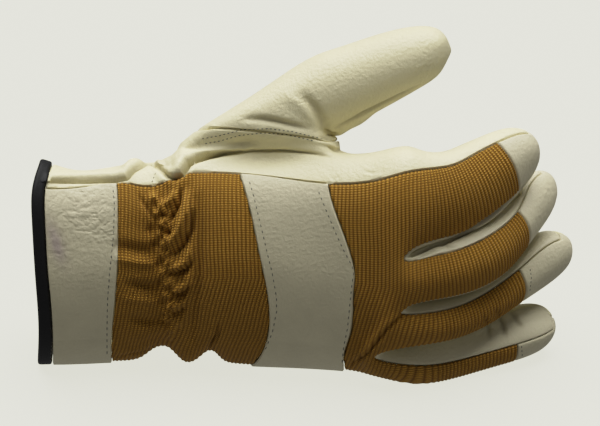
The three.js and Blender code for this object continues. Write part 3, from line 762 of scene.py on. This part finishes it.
rib = {
    "pitch": 1.72, "height": 0.3, "step": 0.34, "beadPitch": 1.07,  # mm
    "lean": 0.22, "leanBelow": 56,
    "warp": 1.1, "warpSize": (16, 30, 14), "calm": (-30, 0), "calmShare": 0.6,
    "intoFinger": (0.1, 1.6),  # rows over which the ribs turn from the hand's to the finger's
}


def fabricPlace(points, place):
    along = points[:, 0].copy()
    along += rib["lean"] * np.clip(rib["leanBelow"] - points[:, 2], 0, None)
    calm = 1 - smooth(points[:, 0], *rib["calm"]) * rib["calmShare"]
    along += rib["warp"] * valueNoise(points, rib["warpSize"], seeds["warp"]) * calm
    gathered = nearGathers(pictureSpot(points)[0])
    along += gathers["twist"] * gathered * valueNoise(points, gathers["size"], seeds["twist"])
    across = np.zeros(len(points))
    part = np.floor((place[:, 0] + 0.001) / partStep).astype(int)
    row = place[:, 0] - partStep * part

    def lookup(table, r, c):
        r, c = (np.rint(value * gridSteps).astype(int) for value in (r, c))
        return table[np.clip(r, 0, table.shape[0] - 1), np.clip(c, 0, table.shape[1] - 1)]

    hand = part == 0
    across[hand] = lookup(acrossHand, row[hand], place[hand, 1])
    for number, name in enumerate(fingers, 1):
        mine = part == number
        line, over = runs[name]
        share = smooth(row[mine], *rib["intoFinger"])
        onLine = np.interp(row[mine] * gridSteps, np.arange(len(line)), line)
        along[mine] = along[mine] * (1 - share) + onLine * share
        across[mine] = lookup(over, row[mine], place[mine, 1])
    return along, across


usual = {  # wall, lift and edge roll in mm
    "wall": 1.8, "lift": 0, "roll": 1.0, "skin": "medium", "slot": "grey_leather", "ribs": False,
    "bends": (0.13, 0.3),  # change of height along an edge, in mm, that asks for more points, twice over
    "keep": 1,  # share of the faces that stay, at the cost of the hidden inner layer
}
panels = {
    "palm_leather": {"roll": 1.3, "slot": "pale_leather", "bends": (0.24, 0.4), "keep": 0.7},
    "thumb_leather": {"roll": 1.3, "slot": "pale_leather"},
    "cuff_band": {"wall": 2.7, "lift": 0.9, "roll": 0.8, "skin": "fine"},
    "knuckle_strap": {"wall": 2.7, "lift": 0.9, "roll": 0.8, "skin": "fine"},
    "wrist_fabric": {"wall": 1.6, "roll": 0.5, "skin": "fine", "slot": "tan_fabric", "ribs": True},
    "finger_fabric": {"wall": 1.6, "roll": 0.7, "slot": "tan_fabric", "ribs": True},
    "cuff_binding": {"wall": 3.2, "lift": 0.7, "roll": 1.6, "slot": "black_tape"},
}
for name in panelNames:
    tip = {"roll": 1.2, "skin": "fine"} if name.endswith("_tip") else {}
    panels[name] = {**usual, **tip, **panels.get(name, {})}
seam = {"gap": 0.3, "mostShare": 0.4, "reach": 6, "rollShare": 0.4}
stain = {"at": (56, 243), "reach": (7, 20), "strength": 1.3, "slant": 0.35}  # on the cuff, in the picture
smoothBelow = 55  # degrees


def drawBack(panel):
    # the cut edge draws back from the seam, towards the inside of the panel
    moves = []
    for vertex in panel.verts:
        if not vertex.is_boundary:
            continue
        inside = [e.other_vert(vertex).co for e in vertex.link_edges if not e.is_boundary]
        if inside:
            goal = sum(inside, Vector()) / len(inside)
            reach = (goal - vertex.co).length
            share = min(seam["mostShare"], seam["gap"] / 2 / max(reach, 1e-4))
            moves.append((vertex, vertex.co.lerp(goal, share)))
    for vertex, spot in moves:
        vertex.co = spot


def edgeDistances(panel):
    rim = [v for v in panel.verts if v.is_boundary]
    tree = KDTree(len(rim))
    for number, vertex in enumerate(rim):
        tree.insert(vertex.co, number)
    tree.balance()
    return np.array([min(seam["reach"], tree.find(v.co)[2]) for v in panel.verts])


def buildPanel(name):
    settings = panels[name]
    panel = bmesh.new()
    panel.from_mesh(skins[settings["skin"]][name])
    roll = settings["roll"]
    distance = edgeDistances(panel)
    drawBack(panel)
    layer = panel.verts.layers.float_vector["skinNormal"]
    rounded = np.sqrt(np.clip(roll ** 2 - np.clip(roll - distance, 0, roll) ** 2, 0, None))
    lift = settings["lift"] - (roll - rounded)
    for vertex, amount in zip(panel.verts, lift):
        vertex.co += vertex[layer] * float(amount)
        vertex.co.z = max(vertex.co.z, 0)
    obj = addObject(name + "_made", meshFrom(panel, name + "_made"))
    panel.free()
    obj.vertex_groups.new(name="inside")
    wall = obj.modifiers.new("wall", "SOLIDIFY")
    wall.thickness = settings["wall"] - roll * seam["rollShare"]
    wall.offset = -1
    wall.shell_vertex_group = "inside"
    if settings["keep"] < 1:
        thinned = obj.modifiers.new("thinned", "DECIMATE")
        thinned.ratio = settings["keep"]
        thinned.vertex_group = "inside"
    walled = applied(obj)
    obj = addObject(name + "_piece", walled)
    if settings["ribs"]:
        raiseRibs(obj)
    else:
        foldPanel(obj, settings["bends"])
    if name == "cuff_band":
        slant = stain["slant"]
        offset = pictureSpot(vertexArray(walled))[0] - np.array(stain["at"])
        turned = offset @ np.array([[1, slant], [-slant, 1]])
        share = np.exp(-((turned / np.array(stain["reach"])) ** 2).sum(axis=1)) * stain["strength"]
        addValues(walled, "stain", share)
    for polygon in walled.polygons:
        polygon.use_smooth = True
    walled.set_sharp_from_angle(angle=math.radians(smoothBelow))
    shift = Matrix.Translation(Vector(form["recentre"]) * millimetre)
    walled.transform(shift @ Matrix.Scale(millimetre, 4))
    return obj


def skinNormals(mesh):
    values = readValues(mesh.attributes["skinNormal"].data, "vector")
    return values / np.maximum(np.linalg.norm(values, axis=1, keepdims=True), 1e-6)


def applyDetail(mesh):
    points, normals = vertexArray(mesh), skinNormals(mesh)
    lift, shade = surfaceDetail(points, normals)
    setPoints(mesh, points + normals * lift[:, None])
    # the crease attribute holds painted shade, which darkens the colour in steep fold valleys and knot
    # pockets
    addValues(mesh, "crease", shade)


def foldPanel(obj, bends):
    # the outer layer gets closer points wherever a fold or wrinkle bends it
    for bend in bends:
        mesh = obj.data
        points, normals = vertexArray(mesh), skinNormals(mesh)
        lift, _ = surfaceDetail(points, normals)
        shape = bmesh.new()
        shape.from_mesh(mesh)
        group = shape.verts.layers.deform.verify()
        shape.verts.ensure_lookup_table()
        busy = set()
        for edge in shape.edges:
            a, b = edge.verts
            if abs(lift[a.index] - lift[b.index]) > bend and 0 not in a[group] and 0 not in b[group]:
                busy.update(f for v in (a, b) for f in v.link_faces)
        edges = {e for f in busy for e in f.edges if all(0 not in v[group] for v in e.verts)}
        bmesh.ops.subdivide_edges(shape, edges=list(edges), cuts=1, use_grid_fill=True, smooth=1.0)
        shape.to_mesh(mesh)
        shape.free()
    applyDetail(obj.data)


def raiseRibs(obj):
    # the outer layer is cut into narrow strips across the ribs, and then follows their wave
    shape = bmesh.new()
    shape.from_mesh(obj.data)
    group = shape.verts.layers.deform.verify()
    place = shape.loops.layers.uv.verify()
    outer = [v for v in shape.verts if 0 not in v[group]]
    outerSet = set(outer)
    strips = {}
    for edge in shape.edges:
        if edge.verts[0] not in outerSet or edge.verts[1] not in outerSet or not edge.link_loops:
            continue
        loop = edge.link_loops[0]
        here, there = loop[place].uv, loop.link_loop_next[place].uv
        if abs(there.x - here.x) > abs(there.y - here.y):
            strips.setdefault(round(min(here.x, there.x) * 2 * gridSteps), []).append(edge)
    groups = {}
    for edges in strips.values():
        mean = sum(e.calc_length() for e in edges) / len(edges)
        cuts = max(0, math.ceil(mean / rib["step"]) - 1)
        groups.setdefault(cuts, []).extend(edges)
    for cuts, edges in sorted(groups.items()):
        if cuts:
            bmesh.ops.subdivide_edges(shape, edges=edges, cuts=cuts, use_grid_fill=True)
    shape.to_mesh(obj.data)
    outside = np.array([0 not in v[group] for v in shape.verts])
    shape.free()
    mesh = obj.data
    corner, place = cornerPlaces(mesh)
    spots = np.zeros((len(mesh.vertices), 2))
    spots[corner] = place
    along, across = fabricPlace(vertexArray(mesh), spots)
    applyDetail(mesh)
    height = np.cos(2 * math.pi * along / rib["pitch"]) * rib["height"] / 2
    setPoints(mesh, vertexArray(mesh) + normalArray(mesh) * (outside * height)[:, None])
    addValues(mesh, "along", along)
    addValues(mesh, "across", across)


# Finishes
def newMaterial(name):
    material = bpy.data.materials.new(name)
    material.use_nodes = True
    tree = material.node_tree
    shader = tree.nodes["Principled BSDF"]
    return material, tree, shader


def setInputs(owner, values):
    for label, value in values.items():
        owner.inputs[label].default_value = value


def node(tree, kind, **settings):
    made = tree.nodes.new(kind)
    for key, value in settings.items():
        if key in made.inputs:
            made.inputs[key].default_value = value
        else:
            setattr(made, key, value)
    return made


def texture(tree, kind, **settings):
    made = node(tree, kind, **settings)
    place = tree.nodes.new("ShaderNodeTexCoord").outputs["Object"]
    tree.links.new(place, made.inputs["Vector"])
    return made.outputs


def attribute(tree, name):
    return node(tree, "ShaderNodeAttribute", attribute_name=name).outputs["Fac"]


def calc(tree, operation, first, second=None, third=None):
    made = tree.nodes.new("ShaderNodeMath")
    made.operation = operation
    for socket, value in zip(made.inputs, (first, second, third)):
        if value is None:
            continue
        if isinstance(value, (int, float)):
            socket.default_value = value
        else:
            tree.links.new(value, socket)
    return made.outputs[0]


def mixColour(tree, share, first, second):
    made = tree.nodes.new("ShaderNodeMix")
    made.data_type = "RGBA"
    for socket, value in ((made.inputs[0], share), (made.inputs[6], first), (made.inputs[7], second)):
        if isinstance(value, (int, float)):
            socket.default_value = value
        elif isinstance(value, tuple):
            socket.default_value = (*value, 1)
        else:
            tree.links.new(value, socket)
    return made.outputs[2]


def finish(tree, shader, colour, roughness, specular):
    tree.links.new(colour, shader.inputs["Base Color"])
    setInputs(shader, {"Roughness": roughness, "Specular IOR Level": specular})


def addBump(tree, shader, height, strength, distance):
    bump = node(tree, "ShaderNodeBump", Strength=strength, Distance=distance)
    tree.links.new(height, bump.inputs["Height"])
    tree.links.new(bump.outputs["Normal"], shader.inputs["Normal"])


# crease is the colour that steep fold valleys and knot pockets are darkened towards, and its share how far:
# painted shade
leather = {
    "pale_leather": {
        "light": (0.87, 0.80, 0.49), "dark": (0.77, 0.70, 0.41), "roughness": 0.5,
        "crease": (0.24, 0.2, 0.1), "creaseShadeShare": 0.75,
    },
    "grey_leather": {
        "light": (0.72, 0.66, 0.435), "dark": (0.545, 0.495, 0.325), "roughness": 0.55,
        "crease": (0.2, 0.175, 0.1), "creaseShadeShare": 0.75, "stain": (0.33, 0.22, 0.30),
    },
}


grain = {"cells": 0.5, "fine": 0.25, "grooves": 0.2, "grooveEdge": 4}  # shares of the bump


def leatherMaterial(name):
    settings = leather[name]
    material, tree, shader = newMaterial(name + "_finish")
    mottle = texture(tree, "ShaderNodeTexNoise", Scale=60.0, Detail=5.0, Roughness=0.6)["Fac"]
    cells = texture(tree, "ShaderNodeTexVoronoi", Scale=620.0, Randomness=1.0, feature="SMOOTH_F1")
    fine = texture(tree, "ShaderNodeTexNoise", Scale=1500.0, Detail=3.0, Roughness=0.6)["Fac"]
    creases = texture(tree, "ShaderNodeTexNoise", Scale=380.0, Detail=4.0, Roughness=0.65)["Fac"]
    colour = mixColour(tree, mottle, settings["dark"], settings["light"])
    if name == "grey_leather":  # a faint purple stain on the cuff
        patchy = calc(tree, "MULTIPLY", attribute(tree, "stain"), mottle)
        colour = mixColour(tree, patchy, colour, settings["stain"])
    # painted shade: steep fold valleys and knot pockets darken towards the crease colour
    crease = calc(tree, "MULTIPLY", attribute(tree, "crease"), settings["creaseShadeShare"])
    colour = mixColour(tree, crease, colour, settings["crease"])
    # fine grooves follow the middle value of a noise
    away = calc(tree, "ABSOLUTE", calc(tree, "MULTIPLY_ADD", creases, 2, -1))
    groove = calc(tree, "MINIMUM", calc(tree, "MULTIPLY", away, grain["grooveEdge"]), 1)
    height = calc(tree, "MULTIPLY", fine, grain["fine"])
    height = calc(tree, "MULTIPLY_ADD", cells["Distance"], grain["cells"], height)
    height = calc(tree, "MULTIPLY_ADD", groove, grain["grooves"], height)
    addBump(tree, shader, height, 0.8, 0.00045)
    finish(tree, shader, colour, settings["roughness"], 0.4)
    return material


fabric = {
    "thread": (0.56, 0.285, 0.04), "gap": (0.105, 0.044, 0.006), "roughness": 0.75,
    # shares of the change from gap to thread, where gap is the colour of the furrows between ribs and beads:
    # painted shade of the knit's hollows
    "level": 0.48, "rib": 0.34, "bead": 0.12, "beadOnRib": 0.34,
    # crease is how far painted shade of fold valleys and pockets darkens the knit
    "flatness": 0.6, "beadBump": 0.7, "wear": 0.5, "crease": 0.5,
    "sheen": {"Sheen Weight": 0.05, "Sheen Roughness": 0.4, "Sheen Tint": (1.0, 0.75, 0.4, 1)},
}


def fabricMaterial():
    material, tree, shader = newMaterial("tan_fabric_finish")
    waves = []
    for name, pitch in (("along", rib["pitch"]), ("across", rib["beadPitch"])):
        turn = calc(tree, "MULTIPLY", attribute(tree, name), 2 * math.pi / pitch)
        waves.append(calc(tree, "COSINE", turn))
    ridge, bead = (calc(tree, "MULTIPLY_ADD", wave, 0.5, 0.5) for wave in waves)
    beadBump = fabric["beadBump"]
    soft = calc(tree, "MULTIPLY", ridge, calc(tree, "MULTIPLY_ADD", bead, beadBump, 1 - beadBump))
    beadShare = calc(tree, "MULTIPLY_ADD", ridge, fabric["beadOnRib"], fabric["bead"])
    broad = calc(tree, "POWER", ridge, fabric["flatness"])
    # darker in the furrows between ribs and between beads: painted shade of the knit's hollows
    ribTone = calc(tree, "MULTIPLY_ADD", broad, 2 * fabric["rib"], fabric["level"] - fabric["rib"])
    tone = calc(tree, "MULTIPLY_ADD", waves[1], beadShare, ribTone)
    wear = texture(tree, "ShaderNodeTexNoise", Scale=45.0, Detail=5.0, Roughness=0.6)["Fac"]
    wear = calc(tree, "MULTIPLY_ADD", wear, fabric["wear"], 1 - fabric["wear"] / 2)
    # painted shade: steep fold valleys and knot pockets darken the knit by up to half
    crease = calc(tree, "MULTIPLY_ADD", attribute(tree, "crease"), -fabric["crease"], 1)
    shade = calc(tree, "MULTIPLY", calc(tree, "MULTIPLY", tone, wear), crease)
    addBump(tree, shader, soft, 1.0, 0.0006)
    colour = mixColour(tree, shade, fabric["gap"], fabric["thread"])
    finish(tree, shader, colour, fabric["roughness"], 0.15)
    setInputs(shader, fabric["sheen"])
    return material


tape = {"dark": (0.002, 0.002, 0.002), "light": (0.011, 0.011, 0.011), "roughness": 0.6}


def tapeMaterial():
    material, tree, shader = newMaterial("black_tape_finish")
    weave = texture(tree, "ShaderNodeTexNoise", Scale=1800.0, Detail=2.0, Roughness=0.6)["Fac"]
    addBump(tree, shader, weave, 0.5, 0.0002)
    finish(tree, shader, mixColour(tree, weave, tape["dark"], tape["light"]), tape["roughness"], 0.2)
    return material


finishes = {
    **{name: leatherMaterial(name) for name in leather},
    "tan_fabric": fabricMaterial(),
    "black_tape": tapeMaterial(),
}
pieces = {}
for name in panelNames:
    piece = buildPanel(name)
    piece.data.materials.clear()
    piece.data.materials.append(finishes[panels[name]["slot"]])
    piece.data.polygons.foreach_set("material_index", [0] * len(piece.data.polygons))
    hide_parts(name)
    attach(piece, "root")
    pieces[name] = piece
    triangles = sum(len(p.vertices) - 2 for p in piece.data.polygons)
    print(name, triangles, "triangles")


# Stitches, placed by the photograph and set on the piece that carries them
thread = {
    "width": 0.5, "height": 0.36, "longest": 6,  # mm
    "colour": (0.10, 0.105, 0.09), "darker": 0.7, "roughness": 0.7,
}
stitchRows = [  # the carrier and what may cover it, pitch and length in the picture, and the line
    (["knuckle_strap"], 6.3, 3.6, [
        (249, 180), (254, 197), (257, 210), (262, 230), (267, 252), (272, 272), (276.5, 297), (276.5, 312),
        (272.5, 332), (266, 348), (258, 359)]),
    (["knuckle_strap"], 6.3, 3.6, [
        (318, 190), (326, 210), (337, 236), (344, 251), (352, 266), (353.5, 273), (351.5, 288),
        (347.5, 328), (343.5, 348), (342, 364)]),
    (["cuff_band"], 6.0, 3.8, [
        (113, 188), (114.5, 205), (113.5, 235), (111.5, 255), (109.5, 275), (107.5, 300), (107, 330),
        (107, 357)]),
    (["palm_leather", "thumb_leather"], 4.3, 2.6, [
        (201, 139), (220, 135.5), (241, 130), (268, 128.5), (292, 131.5), (322, 139)]),
    (["palm_leather", "thumb_leather"], 4.3, 2.6, [
        (204, 144), (220, 141), (239, 135.5), (262, 133), (286, 134.5), (312, 140.5)]),
    (["palm_leather"], 4.0, 2.4, [(156, 172), (152, 182)]),
    (["ring_tip"], 4.0, 2.4, [(530, 268), (531.5, 278), (530, 290)]),
    (["little_tip"], 4.0, 2.4, [(521.5, 345), (522.5, 360)]),
    (["cuff_binding"], 3.6, 2.2, [
        (47, 186), (48.5, 205), (50, 245), (52, 285), (52.5, 330), (50.5, 362)]),
]


def cameraRay(spot):
    toward, upward = map(Vector, viewDirections())
    across = Vector((1, 0, 0)) * ((spot[0] - camera["picture"][0] / 2) / camera["pixels"])
    down = upward * ((camera["picture"][1] / 2 - spot[1]) / camera["pixels"])
    eye = (Vector(camera["target"]) - toward * camera["distance"]) * millimetre
    return eye, (toward + across + down).normalized()


def walkLine(line, pitch):
    spots, left = [], pitch / 2
    for start, end in zip(line[:-1], line[1:]):
        a, b = Vector(start), Vector(end)
        length = (b - a).length
        while left < length:
            spots.append((a.lerp(b, left / length), (b - a) / length))
            left += pitch
        left -= length
    return spots


def findTree(trees, name):
    if name not in trees:
        mesh = pieces[name].data
        trees[name] = BVHTree.FromPolygons([v.co for v in mesh.vertices], [p.vertices for p in mesh.polygons])
    return trees[name]


def addStitches():
    trees = {}
    groups = {}
    for names, pitch, stitchLength, line in stitchRows:
        carriers = [findTree(trees, n) for n in names]
        bm = groups.setdefault(names[0], bmesh.new())
        for spot, step in walkLine(line, pitch):
            half = step * (stitchLength / 2)
            ends = []
            for sign in (-1, 1):
                hits = [tree.ray_cast(*cameraRay(spot + sign * half)) for tree in carriers]
                hits = [h for h in hits if h[0] is not None]
                if hits:
                    ends.append(min(hits, key=lambda h: h[3]))
            if len(ends) < 2:
                continue
            along = ends[1][0] - ends[0][0]
            length = along.length
            if length > thread["longest"] * millimetre:
                continue
            normal = (ends[0][1] + ends[1][1]).normalized()
            along.normalize()
            side = normal.cross(along).normalized()
            normal = along.cross(side)
            turn = Matrix((along, side, normal)).transposed().to_4x4()
            middle = (ends[0][0] + ends[1][0]) / 2
            width, height = thread["width"] / 2 * millimetre, thread["height"] / 2 * millimetre
            place = Matrix.Translation(middle) @ turn @ Matrix.Diagonal((length / 2, width, height, 1))
            bmesh.ops.create_icosphere(bm, subdivisions=1, radius=1, matrix=place)
    material, tree, shader = newMaterial("thread_finish")
    twist = texture(tree, "ShaderNodeTexNoise", Scale=2500.0, Detail=2.0)["Fac"]
    darker = tuple(c * thread["darker"] for c in thread["colour"])
    tree.links.new(mixColour(tree, twist, darker, thread["colour"]), shader.inputs["Base Color"])
    setInputs(shader, {"Roughness": thread["roughness"]})
    for name, bm in groups.items():
        mesh = meshFrom(bm, name + "_stitches")
        bm.free()
        obj = addObject(name + "_stitches", mesh)
        for polygon in mesh.polygons:
            polygon.use_smooth = True
        mesh.materials.append(material)
        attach(obj, "root")
        print(name, "stitches:", len(mesh.polygons) // 20)  # each is a ball of 20 faces


addStitches()

# Floor and light
studio = {
    "floorHalf": 3,
    "floor": {
        "Base Color": (0.10, 0.10, 0.094, 1), "Roughness": 0.9,
        "Emission Color": (0.91, 0.91, 0.75, 1), "Emission Strength": 1,
    },
    "sky": 0.09, "skyLow": 2.8,  # brightness overhead, and how many times that below the horizon
    "skyEdge": (-0.1, 0.3),  # heights between which it changes
    "tones": [(0, 0), (0.45, 0.45), (0.7, 0.62), (1.1, 0.77), (1.4, 0.84)],  # bright ones are held back
    "sun": 4.9, "sunTilt": (-12, 0, 0), "sunSize": 60,
}


def makeStudio():
    bm = bmesh.new()
    bmesh.ops.create_grid(bm, x_segments=1, y_segments=1, size=studio["floorHalf"])
    mesh = meshFrom(bm, "floor")
    floor = addObject("floor", mesh)
    material, tree, shader = newMaterial("floor_finish")
    setInputs(shader, studio["floor"])
    mesh.materials.append(material)
    # its glow lights nothing, so the underside stays dark
    floor.visible_diffuse = floor.visible_glossy = False
    world = bpy.data.worlds.new("studio")
    world.use_nodes = True
    tree = world.node_tree
    direction = tree.nodes.new("ShaderNodeTexCoord").outputs["Generated"]
    split = tree.nodes.new("ShaderNodeSeparateXYZ")
    tree.links.new(direction, split.inputs[0])
    rise = tree.nodes.new("ShaderNodeMapRange")
    low, high = studio["skyEdge"]
    setInputs(rise, {"From Min": low, "From Max": high, "To Min": studio["skyLow"]})
    tree.links.new(split.outputs["Z"], rise.inputs["Value"])
    background = tree.nodes["Background"]
    setInputs(background, {"Strength": studio["sky"]})
    tree.links.new(rise.outputs["Result"], background.inputs["Color"])
    bpy.context.scene.world = world
    data = bpy.data.lights.new("sun", "SUN")
    data.energy = studio["sun"]
    data.angle = math.radians(studio["sunSize"])
    addObject("sun", data).rotation_euler = [math.radians(a) for a in studio["sunTilt"]]


def setTones():
    # a curve over the combined channels; its first and last points are there from the start
    view = bpy.context.scene.view_settings
    view.view_transform = "Standard"
    view.use_curve_mapping = True
    top = studio["tones"][-1][0]
    view.curve_mapping.white_level = (top, top, top)
    points = view.curve_mapping.curves[3].points
    for number, (light, shown) in enumerate(studio["tones"]):
        if number in (0, len(studio["tones"]) - 1):
            points[0 if number == 0 else len(points) - 1].location = (light / top, shown)
        else:
            points.new(light / top, shown)
    view.curve_mapping.update()


makeStudio()
setTones()
bpy.context.view_layer.update()
